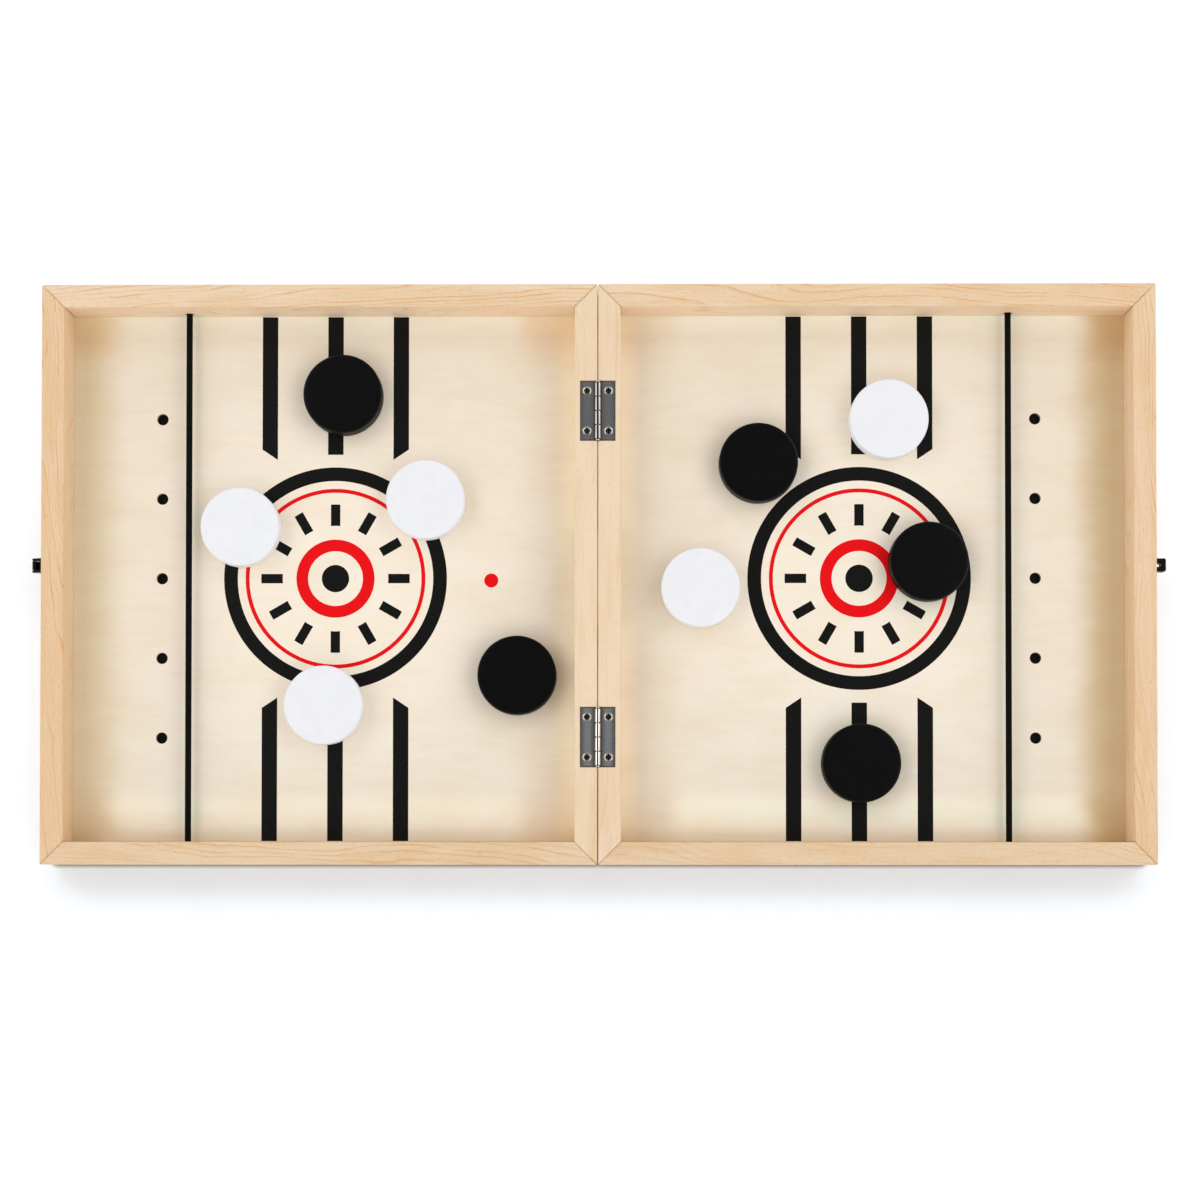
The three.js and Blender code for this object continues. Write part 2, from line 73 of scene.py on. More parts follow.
def middle_of(node):
    """The middle of a CAD node's box, in millimetres."""
    low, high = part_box(node)
    return 500 * (low + high)


class Nodes:
    """A node tree written as calls: each adds a node and returns one of its outputs."""

    def __init__(self, tree):
        self.tree = tree
        tree.nodes.clear()

    def feed(self, socket, value):
        if isinstance(value, bpy.types.NodeSocket):
            self.tree.links.new(value, socket)
        else:
            socket.default_value = value

    def add(self, kind, inputs=(), out=0, **settings):
        node = self.tree.nodes.new("ShaderNode" + kind)
        for key, value in settings.items():
            setattr(node, key, value)
        for key, value in dict(inputs).items():
            self.feed(node.inputs[key], value)
        return node.outputs[out] if node.outputs else None

    def math(self, operation, *values):
        return self.add("Math", enumerate(values), operation=operation)

    def chain(self, operation, values):
        """One operation over all the values in turn."""
        total = values[0]
        for value in values[1:]:
            total = self.math(operation, total, value)
        return total

    def plus(self, *values):
        return self.chain("ADD", values)

    def minus(self, *values):
        return self.chain("SUBTRACT", values)

    def times(self, *values):
        return self.chain("MULTIPLY", values)

    def either(self, *values):
        return self.chain("MAXIMUM", values)

    def size(self, value):
        return self.math("ABSOLUTE", value)

    def gap(self, first, second):
        """How far apart two values are."""
        return self.size(self.minus(first, second))

    def inverse(self, share):
        return self.minus(1.0, share)

    def distance(self, across, along):
        return self.math("SQRT", self.plus(self.times(across, across), self.times(along, along)))

    def wrap(self, value, pitch):
        """A value that starts again at each pitch, and is 0 in the middle of it."""
        return self.math("WRAP", value, pitch / 2, -pitch / 2)

    def ramp(self, value, low, high, start=0.0, end=1.0, smooth=True):
        """From start to end while a value goes from low to high, and level beyond."""
        kind = "SMOOTHSTEP" if smooth else "LINEAR"
        inputs = {0: value, 1: low, 2: high, 3: start, 4: end}
        return self.add("MapRange", inputs, interpolation_type=kind)

    def above(self, value, limit):
        return self.math("GREATER_THAN", value, limit)

    def below(self, value, limit):
        return self.math("LESS_THAN", value, limit)

    def within(self, value, low, high):
        """1 where a value lies between two limits, else 0."""
        return self.times(self.above(value, low), self.below(value, high))

    def near(self, value, middle, half):
        """1 where a value lies at most half away from the middle, else 0."""
        return self.math("COMPARE", value, middle, half)

    def join(self, x, y, z):
        return self.add("CombineXYZ", {0: x, 1: y, 2: z})

    def split(self, vector):
        node = self.tree.nodes.new("ShaderNodeSeparateXYZ")
        self.feed(node.inputs[0], vector)
        return tuple(node.outputs)

    def noise(self, vector, detail=2.0, roughness=0.5, scale=1.0):
        inputs = {"Vector": vector, "Scale": scale, "Detail": detail, "Roughness": roughness}
        return self.add("TexNoise", inputs, out="Fac")

    def grain(self, axes, scales, detail=2.0, roughness=0.5):
        """Noise with its own scale along each axis."""
        stretched = [self.times(axis, scale) for axis, scale in zip(axes, scales)]
        return self.noise(self.join(*stretched), detail, roughness)

    def mix(self, share, first, second, blend="MIX"):
        inputs = {0: share, 6: first, 7: second}
        return self.add("Mix", inputs, out=2, data_type="RGBA", blend_type=blend)

    def tint(self, share, colour, glaze):
        """A colour seen through a share of a coloured glaze."""
        return self.mix(share, colour, glaze, "MULTIPLY")

    def shade(self, share, colour, dark=0.0):
        """A colour made darker, down to a share of itself, by another share."""
        keep = self.ramp(share, 0.0, 1.0, dark, 1.0, smooth=False)
        return self.add("VectorMath", {0: colour, "Scale": keep}, operation="SCALE")

    def bump(self, height, depth):
        return self.add("Bump", {"Height": height, "Distance": depth, "Strength": 1.0})

    def place(self):
        """Where a point lies on the resting part, in millimetres."""
        where = self.add("TexCoord", out="Object")
        return self.add("VectorMath", {0: where, "Scale": 1000.0}, operation="SCALE")

    def surface(self, **inputs):
        """The finished surface. Each input has its own name, in small letters and underscores."""
        named = {}
        for key, value in inputs.items():
            named[key.replace("_", " ").title().replace("Ior", "IOR")] = value
        shader = self.add("BsdfPrincipled", named, out="BSDF")
        self.add("OutputMaterial", {"Surface": shader})


def material(name):
    made = bpy.data.materials.new(name)
    made.use_nodes = True
    return made, Nodes(made.node_tree)


# Camera, at the photograph's viewing angle
CAMERA_PLACE = (0.01048, -0.1319, 1.20452)
CAMERA_TURN = (1.0722, 0.483, 0.0228)
CAMERA_LENS = 70.391
CAMERA_SENSOR = 36
CAMERA_SHIFT = (0.00103, 0.16064)


def make_camera():
    data = bpy.data.cameras.new("camera")
    data.lens = CAMERA_LENS
    data.sensor_width = CAMERA_SENSOR
    data.shift_x, data.shift_y = CAMERA_SHIFT
    camera = bpy.data.objects.new("camera", data)
    camera.location = CAMERA_PLACE
    camera.rotation_euler = [math.radians(angle) for angle in CAMERA_TURN]
    bpy.context.scene.collection.objects.link(camera)
    bpy.context.scene.camera = camera


# Studio, in metres and watts
SIDE_BOX_PLACE = (0.98, 0.1, 1.16)
SIDE_BOX_SIZE = (2.2, 0.9)
SIDE_BOX_POWER = 6.4
BACK_BOX_PLACE = (0.0, 0.65, 1.1)
BACK_BOX_SIZE = (2.4, 0.7)
BACK_BOX_POWER = 9.2
ROOM_LIGHT = 0.856
ZENITH_LIGHT = 0.128
ZENITH_EDGE = (0.78, 0.96)
FAR_LIGHT = -0.2
STUDIO_REACH = 4.0
STUDIO_GAP = 0.1 * MM


def softbox(name, place, size, power):
    """A rectangular lamp. One at a side faces straight across, one in the middle faces the part."""
    lamp = bpy.data.lights.new(name, "AREA")
    lamp.shape = "RECTANGLE"
    lamp.size, lamp.size_y = size
    lamp.energy = power
    box = bpy.data.objects.new(name, lamp)
    box.location = place
    aim = Vector((0, place[1] if place[0] else 0, 0)) - box.location
    box.rotation_euler = aim.to_track_quat("-Z", "Y").to_euler()
    bpy.context.scene.collection.objects.link(box)
    return box


def soft_room():
    """A pale room with a dim zenith, a little dimmer on the far side. The camera sees plain white."""
    world = bpy.data.worlds.new("studio")
    world.use_nodes = True
    bpy.context.scene.world = world
    n = Nodes(world.node_tree)
    _, far, up = n.split(n.add("TexCoord", out="Generated"))
    room = n.ramp(up, *ZENITH_EDGE, ROOM_LIGHT, ZENITH_LIGHT)
    light = n.times(room, n.plus(1.0, n.times(far, FAR_LIGHT)))
    seen = n.add("LightPath", out="Is Camera Ray")
    strength = n.plus(n.times(light, n.inverse(seen)), seen)
    background = n.add("Background", {"Color": WHITE, "Strength": strength})
    n.add("OutputWorld", {"Surface": background})


# Studio floor. Places are in millimetres from the middle of the part
FLOOR_PAINT = (0.822, 0.866, 0.922)
CONTACT_REACH = 2.7 * MM
# Painted contact shade: how warm the floor turns where ambient occlusion darkens it
CONTACT_SHADE_TINT = (1.05, 0.94, 0.82, 1)
OPEN_END = 1000 * cad_box[1].x - 5.0
OPEN_SIDE = 1000 * cad_box[1].y
GLOW_COLOUR = (1, 0.95, 0.89, 1)
GLOW_ZONE = (500.0, 1300.0)
GLOW_LEVELS = (0.04, 0.9)
END_GLOW_LEVELS = (0.06, 0.0)
END_GLOW_OUT = (274.0, 294.0)
END_GLOW_ALONG = (140.0, 240.0)


def floor_paint():
    """Pale paint, with a painted contact shade, dark and warm, where a piece stands on it. To the
    camera, in a gloss and through glass the open floor glows: most of all far out, and a little
    beside the ends of the trays."""
    made, n = material("studio_floor")
    # Painted contact shade: ambient occlusion darkens and warms the floor's colour beside the part
    openness = n.add("AmbientOcclusion", {"Distance": CONTACT_REACH}, out="AO", samples=8)
    open_air = n.times(openness, openness)
    colour = n.tint(n.inverse(open_air), n.shade(open_air, FLOOR_PAINT), CONTACT_SHADE_TINT)
    diffuse = n.add("BsdfDiffuse", {"Color": colour})
    rays = [n.add("LightPath", out=f"Is {kind} Ray") for kind in ("Camera", "Glossy", "Transmission")]
    x, y, _ = n.split(n.place())
    out, along = n.size(x), n.size(y)
    open_floor = n.either(n.above(out, OPEN_END), n.above(along, OPEN_SIDE))
    by_end = n.times(n.ramp(out, *END_GLOW_OUT), n.ramp(along, *END_GLOW_ALONG, *END_GLOW_LEVELS))
    glow = n.plus(n.ramp(n.distance(x, y), *GLOW_ZONE, *GLOW_LEVELS), by_end)
    strength = n.times(n.either(*rays), open_floor, open_air, glow)
    emission = n.add("Emission", {"Color": GLOW_COLOUR, "Strength": strength})
    n.add("OutputMaterial", {"Surface": n.add("AddShader", {0: diffuse, 1: emission})})
    return made


def make_studio():
    """A softbox at each side, a soft room, and a pale floor that has a softbox of its own."""
    bpy.context.scene.view_settings.view_transform = "Standard"
    soft_room()
    out, far, up = SIDE_BOX_PLACE
    for sign, side in ((-1, "left"), (1, "right")):
        softbox(side + "_softbox", (sign * out, far, up), SIDE_BOX_SIZE, SIDE_BOX_POWER)
    behind = softbox("floor_softbox", BACK_BOX_PLACE, BACK_BOX_SIZE, BACK_BOX_POWER)

    mesh = bpy.data.meshes.new("studio_floor")
    signs = ((-1, -1), (1, -1), (1, 1), (-1, 1))
    corners = [(x * STUDIO_REACH, y * STUDIO_REACH, -STUDIO_GAP) for x, y in signs]
    mesh.from_pydata(corners, [], [(0, 1, 2, 3)])
    mesh.materials.append(floor_paint())
    floor = bpy.data.objects.new("studio_floor", mesh)
    bpy.context.scene.collection.objects.link(floor)
    lit = bpy.data.collections.new("lit_from_behind")
    lit.objects.link(floor)
    behind.light_linking.receiver_collection = lit


# Timber. Places are in millimetres
TRAY_END = 1000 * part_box("right_end_rail")[1].x
TRAY_SIDE = 1000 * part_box("right_far_rail")[1].y
TRAY_SEAM = 1000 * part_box("right_centre_rail")[0].x
RAIL_TOP = 1000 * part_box("right_far_rail")[1].z
HINGE_PLACE = middle_of("far_hinge_right_leaf").y

PALE_PINE = linear(243, 219, 189)
WARM_PINE = linear(234, 198, 155)
LATE_WOOD = linear(226, 163, 100)
FLECK_BROWN = linear(212, 152, 96)
# Painted light: the rails' sides are paled towards this colour, more on the long rails than the end
# rails
PAINTED_LIGHT_ON_SIDES = linear(248, 229, 202)
SIDE_LIGHT_SHARE = {"x": 0.36, "y": 0.2}
SIDE_TOP = RAIL_TOP - 0.8
# Painted shade on the near rails: a little darker and less red
PAINTED_SHADE_ON_NEAR_RAILS = (0.965, 0.99, 1.01, 1)
SEED_STEP = 53.0
LINE_LEAN = (0.05, 0.1)
LINE_GAP = (2.1, 2.7)
LINE_WANDER = 24.0
LINE_CURL = 2.6
LINE_RIPPLE = 0.6
NEAR_AMBER_ZONE = (60.0, -60.0)
END_AMBER_ZONE = (0.4, 0.8)
PINE_RELIEF = 0.04 * MM

# Painted shade on the rail edges that run down into the seam between the trays
SEAM_SHADE_INNER = 0.22
SEAM_SHADE_OUTER = (0.34, 0.48)
SEAM_SHADE_HEIGHT = (RAIL_TOP - 0.4, RAIL_TOP - 0.1)
SEAM_SHADE_SHARE = 0.95
SEAM_SHADE_NEAR_ZONE = (-50.0, -110.0)
SEAM_SHADE_COLOURS = (linear(130, 76, 40), linear(30, 18, 10))
GLUE_COLOUR = linear(170, 112, 62)
GLUE_WIDTH = (0.2, 0.75)
# Painted shade in the recesses of the hinge pockets
POCKET_SHADE_COLOUR = linear(84, 52, 32)
POCKET_HALF = 15.6
POCKET_OUT = (0.3, 9.2)
POCKET_HEIGHT = (RAIL_TOP - 3.0, 2.5)

# Each rail's direction, seed, figure, tone, low and ends, as in pine()
RAILS = {
    "left_far": ("x", 10, 0.9, 0.2),
    "left_near": ("x", 17, 0.6, 1.15),
    "left_end": ("y", 24, 0.9, 1.65, 0.15),
    "left_centre": ("y", 31, 0.15, -0.6, 0.0, 0.33),
    "right_far": ("x", 38, 0.85, 0.4, 0.0, 0.3),
    "right_near": ("x", 45, 0.6, 1.3),
    "right_end": ("y", 52, 0.75, 0.95, 0.25),
    "right_centre": ("y", 59, 0.2, -0.5, 0.0, 0.2),
}


def seam_painted_shade(n, colour, x, y, z):
    """Painted shade on the edges where the trays meet, wider and darker towards the near end."""
    outer = n.ramp(y, *SEAM_SHADE_NEAR_ZONE, *SEAM_SHADE_OUTER)
    edge = n.ramp(n.size(x), outer, SEAM_SHADE_INNER, 0.0, SEAM_SHADE_SHARE)
    shade_colour = n.mix(n.ramp(y, *SEAM_SHADE_NEAR_ZONE), *SEAM_SHADE_COLOURS)
    return n.mix(n.times(edge, n.ramp(z, *SEAM_SHADE_HEIGHT)), colour, shade_colour)


def glue_lines(n, colour, x, y, patch):
    """A thin, patchy line of glue along each mitre."""
    out, side = n.size(x), n.minus(TRAY_SIDE, n.size(y))
    at_end, at_seam = n.minus(TRAY_END, out), n.minus(out, TRAY_SEAM)
    mitre = n.math("MINIMUM", n.gap(at_end, side), n.gap(at_seam, side))
    glue = n.times(n.ramp(mitre, *GLUE_WIDTH, 0.4, 0.0), n.ramp(patch, 0.3, 0.6, 0.5, 1.0))
    return n.mix(glue, colour, GLUE_COLOUR)


def hinge_pocket_shade(n, colour, x, y, z):
    """Painted shade: dark timber in the pockets that the hinge leaves lie in."""
    by_hinge = n.near(n.size(y), HINGE_PLACE, POCKET_HALF)
    pocket = n.times(by_hinge, n.near(z, *POCKET_HEIGHT), n.within(n.size(x), *POCKET_OUT))
    return n.mix(n.times(pocket, 0.75), colour, POCKET_SHADE_COLOUR)


def pine(name, along, seed, figure, tone, low=0.0, ends=0.0):
    """Pale pine: growth lines that wander across the rail, soft patches, flecks and fine fibres.
    figure is how much of the lines shows, tone how amber the timber is, and low and ends how much
    more amber it is towards the near end and towards both ends."""
    dice = random.Random(seed)
    made, n = material(name)
    x, y, z = n.split(n.place())
    run, across, reach = (x, y, TRAY_END) if along == "x" else (y, x, TRAY_SIDE)
    shift = n.plus(run, SEED_STEP * seed)

    def grain(lengthwise, sideways, detail=2.0, roughness=0.5):
        return n.grain((shift, across, z), (lengthwise, sideways, sideways), detail, roughness)

    lean = dice.choice((-1, 1)) * dice.uniform(*LINE_LEAN)
    thin = grain(0.05, 0.9, 3.0, 0.6)
    wander = n.times(grain(0.01, 0.04, 1.0), LINE_WANDER)
    curl = n.times(grain(0.07, 0.1), LINE_CURL)
    level = n.plus(
        across, n.times(z, 0.35), n.times(run, lean), n.plus(wander, curl), n.times(thin, LINE_RIPPLE),
    )
    turn = n.times(level, 1 / dice.uniform(*LINE_GAP))
    ring = n.math("FRACT", turn)
    year = {"W": n.plus(n.math("FLOOR", turn), seed)}
    bold = n.add("TexWhiteNoise", year, out="Value", noise_dimensions="1D")
    early = n.ramp(ring, 0.1, 0.95)
    late = n.times(n.ramp(ring, 0.62, 0.9), n.ramp(ring, 0.92, 0.99, 1.0, 0.0))
    patch = grain(0.02, 0.12)
    fade = grain(0.035, 0.3)
    fibre = grain(0.25, 5.5, 3.0, 0.7)
    fleck = grain(0.3, 2.2, 2.0, 0.6)

    end_zone = [share * reach for share in END_AMBER_ZONE]
    amber = n.plus(
        n.times(n.ramp(patch, 0.4, 0.66), 0.4),
        n.times(early, bold, 0.16 + 0.2 * figure),
        n.times(n.ramp(thin, 0.44, 0.7), 0.2 + 0.2 * figure),
        0.35 * tone,
        n.times(n.ramp(y, *NEAR_AMBER_ZONE), low),
        n.times(n.ramp(n.size(run), *end_zone), ends),
    )
    colour = n.mix(amber, PALE_PINE, WARM_PINE)
    strong = n.times(n.ramp(bold, 0.3, 0.95, 0.1, 1.0), n.ramp(fade, 0.38, 0.56, 0.12, 1.0))
    colour = n.mix(n.times(late, strong, figure), colour, LATE_WOOD)
    colour = n.mix(n.times(n.ramp(fleck, 0.62, 0.68), 0.3 + 0.35 * figure), colour, FLECK_BROWN)
    colour = n.shade(n.ramp(fibre, 0.3, 0.62), colour, 0.955)
    # Painted light on the sides of the rail
    colour = n.mix(n.times(n.below(z, SIDE_TOP), SIDE_LIGHT_SHARE[along]), colour, PAINTED_LIGHT_ON_SIDES)
    # Painted shade on the near rails
    if along == "x":
        colour = n.tint(n.below(y, 0.0), colour, PAINTED_SHADE_ON_NEAR_RAILS)
    # Painted shade at the seam between the trays
    colour = seam_painted_shade(n, colour, x, y, z)
    colour = glue_lines(n, colour, x, y, patch)
    # Painted shade in the hinge pockets
    colour = hinge_pocket_shade(n, colour, x, y, z)
    rough = n.ramp(fibre, 0.2, 0.8, 0.5, 0.64)
    height = n.plus(n.times(fibre, 0.5), n.times(late, 0.35), n.times(fleck, -0.3))
    relief = n.bump(height, PINE_RELIEF)
    n.surface(base_color=colour, roughness=rough, specular_ior_level=0.3, normal=relief)
    return made


# Print on the floors, in millimetres
STRIPES = ((100.8, -0.67), (134.3, 0.0), (167.9, 0.67))
STRIPE_HALF = 3.95
STRIPE_INNER_END = 63.5
STRIPE_OUTER_END = 134.2
PRINT_SLIP = 1.1
TARGET_PLACE = STRIPES[1][0]
BLACK_RING = (53.5, 3.5)
RED_RINGS = ((45.0, 1.0), (17.0, 3.0))
SPOT_RADIUS = 7.0
BARS = 12
BAR_HALF = 2.4
BAR_ENDS = (27.0, 38.0)
DOT_PLACE = (54.6, -1.0)
DOT_RADIUS = 3.6


def stripe(n, across, along, middle, slant):
    """Where one stripe lies: about its middle, from its slanted inner end outwards."""
    past = n.minus(along, n.times(n.minus(across, middle), slant))
    return n.times(n.near(across, middle, STRIPE_HALF), n.above(past, STRIPE_INNER_END))


def print_masks(n, x, y):
    """Where the black ink and the red ink lie on either floor. A ring has its radius and half its
    width. The dot is on the left floor only."""
    across = n.plus(n.size(x), n.times(n.above(x, 0.0), PRINT_SLIP))
    along = n.size(y)
    stripes = [stripe(n, across, along, *place) for place in STRIPES]
    aside = n.minus(across, TARGET_PLACE)
    distance = n.distance(aside, y)
    turn = n.wrap(n.math("ARCTAN2", y, aside), 2 * math.pi / BARS)
    sway = n.times(distance, n.math("SINE", turn))
    bars = n.times(n.near(sway, 0.0, BAR_HALF), n.within(distance, *BAR_ENDS))
    black = n.either(*stripes, n.near(distance, *BLACK_RING), bars, n.below(distance, SPOT_RADIUS))
    from_dot = n.distance(n.minus(across, DOT_PLACE[0]), n.minus(y, DOT_PLACE[1]))
    dot = n.times(n.below(from_dot, DOT_RADIUS), n.below(x, 0.0))
    red = n.either(*(n.near(distance, *ring) for ring in RED_RINGS), dot)
    return n.times(black, n.below(along, STRIPE_OUTER_END)), red


# Holes in the floors, in millimetres
FLOOR_TOP = 1000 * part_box("left_floor")[1].z
HOLE_PLACE = TRAY_END - 57.0
HOLES = 5
HOLE_PITCH = 40.8
HOLE_RADIUS = 2.9
HOLE_BOTTOM = FLOOR_TOP - 2.5
BURN_EDGE = 0.1


def burnt_shaded_holes(n, x, y, z):
    """The walls and the bottoms of the holes, which the cutting beam burnt, and which are painted near
    black as the shade inside the holes.
    """
    aside = n.minus(n.size(x), HOLE_PLACE)
    distance = n.distance(aside, n.wrap(y, HOLE_PITCH))
    in_row = n.below(n.size(y), HOLES / 2 * HOLE_PITCH)
    burn = n.ramp(distance, HOLE_RADIUS - BURN_EDGE, HOLE_RADIUS + BURN_EDGE, 1.0, 0.0)
    return n.times(burn, in_row, n.above(z, HOLE_BOTTOM))


# Veneer of the floors. Places are in millimetres, out from the seam or along it
PALE_VENEER = linear(245, 232, 213)
WARM_VENEER = linear(236, 217, 188)
BLACK_INK = linear(12, 12, 12)
RED_INK = linear(238, 5, 16)
# Burnt wood, and painted shade: near black, as the insides of the holes look in shade
BURNT_SHADED_WOOD = linear(10, 7, 5)
PALEST = (0.98, 0.98, 0.98)
INK_SPREAD = 0.22
VENEER_ROUGH = (0.52, 0.52, 0.52, 1)
INK_ROUGH = (0.42, 0.42, 0.42, 1)
VENEER_RELIEF = 0.03 * MM
UPPER_FACE = FLOOR_TOP - 0.1

# Painted light and shade on the upper faces of the floors
CLOUD_SWAY = 10.0
# Painted shade, dark and warm, towards the end rails
END_ZONE = (238.0, 259.0)
# Painted light beside the centre rails
SEAM_INNER_SHARE = 0.4
# Painted shade, dark and warm, in the corners of each floor
CORNER_SHADE_SEAM_ZONE = (46.0, 31.0)
CORNER_SHADE_END_ZONE = (244.0, 257.0)
CORNER_SHADE_ZONE = (100.0, 132.0)
CORNER_SHADE_NEAR_FADE = (-60.0, 60.0, 0.35, 1.0)
PAINTED_CORNER_SHADE = (0.96, 0.84, 0.7, 1)
# Painted light on the near half, and a band of painted light beside the near rail
NEAR_ZONE = (-30.0, -100.0)
PAINTED_NEAR_LIGHT = (1.0, 1.03, 1.05, 1)
NEAR_BAND = -120.0
NEAR_BAND_FADE = (2.0, 14.0)
# Painted shade along the foot of the near rail, darkest at the joint
NEAR_RAIL_ZONE = (-125.0, -134.0)
NEAR_JOINT_ZONE = (-133.8, -134.3)
PAINTED_SHADE_BY_NEAR_RAIL = (0.84, 0.75, 0.62, 1)
# A little painted shade on the far half, and painted light along the foot of the far rail
FAR_ZONE = (70.0, 105.0)
PAINTED_FAR_SHADE = (0.975, 0.98, 0.975, 1)
FAR_RAIL_ZONE = (123.0, 134.0)
PAINTED_FAR_RAIL_LIGHT = (1.12, 1.22, 1.28, 1)
# Painted light in the middle of each floor
BOARD_MIDDLE = 138.0
BOARD_MIDDLE_ZONE = (30.0, 130.0)
PAINTED_MIDDLE_LIGHT = (1.08, 1.1, 1.12, 1)
# Painted light beside each cord, against the cord's shadow
CORD_PLACE = middle_of("right_sling_cord").x
CORD_ZONE = (4.0, 10.0)
PAINTED_CORD_LIGHT = (1.08, 1.08, 1.07, 1)

# Each floor's painted shade at its end and in its corners, and painted light by the seam and in the
# band by the near rail
FLOORS = {
    "left": {
        "seed": 2.0, "painted_end_shade": (0.92, 0.895, 0.775, 1), "painted_seam_light": (1.11, 1.11, 1.02, 1),
        "seam_light_reach": 30.0, "painted_band_light": (1.11, 1.11, 1.1, 1), "seam_corner_shade": 1.0, "end_corner_shade": 0.8,
    },
    "right": {
        "seed": 7.0, "painted_end_shade": (0.81, 0.725, 0.545, 1), "painted_seam_light": (1.1, 1.09, 1.01, 1),
        "seam_light_reach": 26.0, "painted_band_light": (1.16, 1.16, 1.15, 1), "seam_corner_shade": 0.4, "end_corner_shade": 1.0,
    },
}


def floor_painted_light_and_shade(n, x, y, cloud, painted_end_shade, painted_seam_light, seam_light_reach, painted_band_light, seam_corner_shade, end_corner_shade):
    """Painted light and shade on a floor, from place to place: pairs of a share and a glaze that
    lightens or darkens the colour. The band of painted light runs beside the near rail, and
    seam_corner_shade and end_corner_shade say how much painted shade darkens and warms the
    corners, 0 to 1."""
    out = n.plus(n.size(x), n.times(cloud, CLOUD_SWAY), -CLOUD_SWAY / 2)
    by_seam, by_end = n.ramp(out, *CORNER_SHADE_SEAM_ZONE), n.ramp(out, *CORNER_SHADE_END_ZONE)
    inner = n.inverse(n.either(by_seam, by_end))
    corner_share = n.either(n.times(by_seam, seam_corner_shade), n.times(by_end, end_corner_shade))
    corner = n.times(n.ramp(n.size(y), *CORNER_SHADE_ZONE), n.ramp(y, *CORNER_SHADE_NEAR_FADE))
    band = n.ramp(n.gap(y, NEAR_BAND), *NEAR_BAND_FADE, 1.0, 0.0)
    near_rail = n.plus(n.ramp(y, *NEAR_RAIL_ZONE, 0.0, 0.5), n.ramp(y, *NEAR_JOINT_ZONE, 0.0, 0.5))
    from_middle = n.distance(n.minus(n.size(x), BOARD_MIDDLE), y)
    from_cord = n.gap(n.size(x), CORD_PLACE)
    return (
        (n.ramp(out, *END_ZONE), painted_end_shade),
        (n.ramp(out, seam_light_reach, SEAM_INNER_SHARE * seam_light_reach), painted_seam_light),
        (n.times(n.ramp(y, *NEAR_ZONE), inner), PAINTED_NEAR_LIGHT),
        (n.times(band, inner), painted_band_light),
        (n.times(corner_share, corner), PAINTED_CORNER_SHADE),
        (near_rail, PAINTED_SHADE_BY_NEAR_RAIL),
        (n.ramp(y, *FAR_ZONE), PAINTED_FAR_SHADE),
        (n.ramp(y, *FAR_RAIL_ZONE, smooth=False), PAINTED_FAR_RAIL_LIGHT),
        (n.ramp(from_middle, *BOARD_MIDDLE_ZONE, 1.0, 0.0), PAINTED_MIDDLE_LIGHT),
        (n.ramp(from_cord, *CORD_ZONE, 1.0, 0.0), PAINTED_CORD_LIGHT),
    )


def plywood(name, seed, **looks):
    """Cream birch veneer, faintly figured, with holes that a beam burnt. Its upper face carries
    painted light and shade, and the print. looks go to floor_painted_light_and_shade."""
    made, n = material(name)
    x, y, z = n.split(n.place())

    def shifted(value, scale):
        return n.plus(n.times(value, scale), seed)

    cloud = n.noise(n.join(shifted(x, 0.03), n.times(y, 0.05), 0.0), 3.0)
    streak = n.noise(n.join(n.times(x, 0.05), shifted(y, 0.3), 0.0), 4.0, 0.6)
    fibre = n.noise(n.join(n.times(x, 0.35), shifted(y, 5.0), n.times(z, 5.0)), 3.0, 0.6)
    warmth = n.ramp(n.plus(n.times(cloud, 0.6), n.times(streak, 0.4)), 0.38, 0.68, 0.0, 0.45)
    colour = n.mix(warmth, PALE_VENEER, WARM_VENEER)
    colour = n.shade(n.ramp(fibre, 0.25, 0.7), colour, 0.975)
    upper = n.above(z, UPPER_FACE)
    # Painted light and shade on the upper face
    for share, glaze in floor_painted_light_and_shade(n, x, y, cloud, **looks):
        colour = n.tint(n.times(share, upper), colour, glaze)
    colour = n.add("VectorMath", {0: colour, 1: PALEST}, operation="MINIMUM")

    edge = n.times(n.minus(n.grain((x, y, z), (2.2, 2.2, 0.0)), 0.5), INK_SPREAD)
    masks = print_masks(n, n.plus(x, edge), n.plus(y, edge))
    black, red = (n.times(mask, upper) for mask in masks)
    worn = n.ramp(fibre, 0.3, 0.6, 0.993, 1.0)
    colour = n.mix(n.times(red, worn), colour, RED_INK)
    colour = n.mix(n.times(black, worn), colour, BLACK_INK)
    # Burnt, and painted near black as shade, inside the holes
    colour = n.mix(burnt_shaded_holes(n, x, y, z), colour, BURNT_SHADED_WOOD)
    ink = n.either(black, red)
    rough = n.mix(ink, VENEER_ROUGH, INK_ROUGH)
    relief = n.bump(n.plus(n.times(fibre, 0.4), n.times(ink, 0.25)), VENEER_RELIEF)
    n.surface(base_color=colour, roughness=rough, specular_ior_level=0.12, normal=relief)
    return made


# Metal. Places are in millimetres
LEAF_MIDDLE = 5.2
LEAF_WORN_ZONE = (0.8, 3.4)
LEAF_TOP_ZONE = (RAIL_TOP + 0.1, RAIL_TOP - 0.2)
KNUCKLE_PITCH = 7.15
KNUCKLE_JOINT_HALF = 0.3
KNUCKLE_ROOT = 1.6
KNUCKLE_ROOT_HALF = 0.48
# Width of the painted dark reflection along the crown of each knuckle
REFLECTION_HALVES = (0.42, 0.62)
REFLECTION_BLUR = 0.1
SCREW_PLACE = middle_of("far_hinge_right_screw_far")
SCREW_ACROSS = SCREW_PLACE.x
SCREW_ALONG = SCREW_PLACE.y - HINGE_PLACE
SCREW_REACH = 2.6
RECESS_TOP = RAIL_TOP - 0.4
# The ring where a screw head keeps its bright colour, as a painted highlight
HIGHLIGHT_RING = ((1.35, 1.55), (1.85, 2.05))


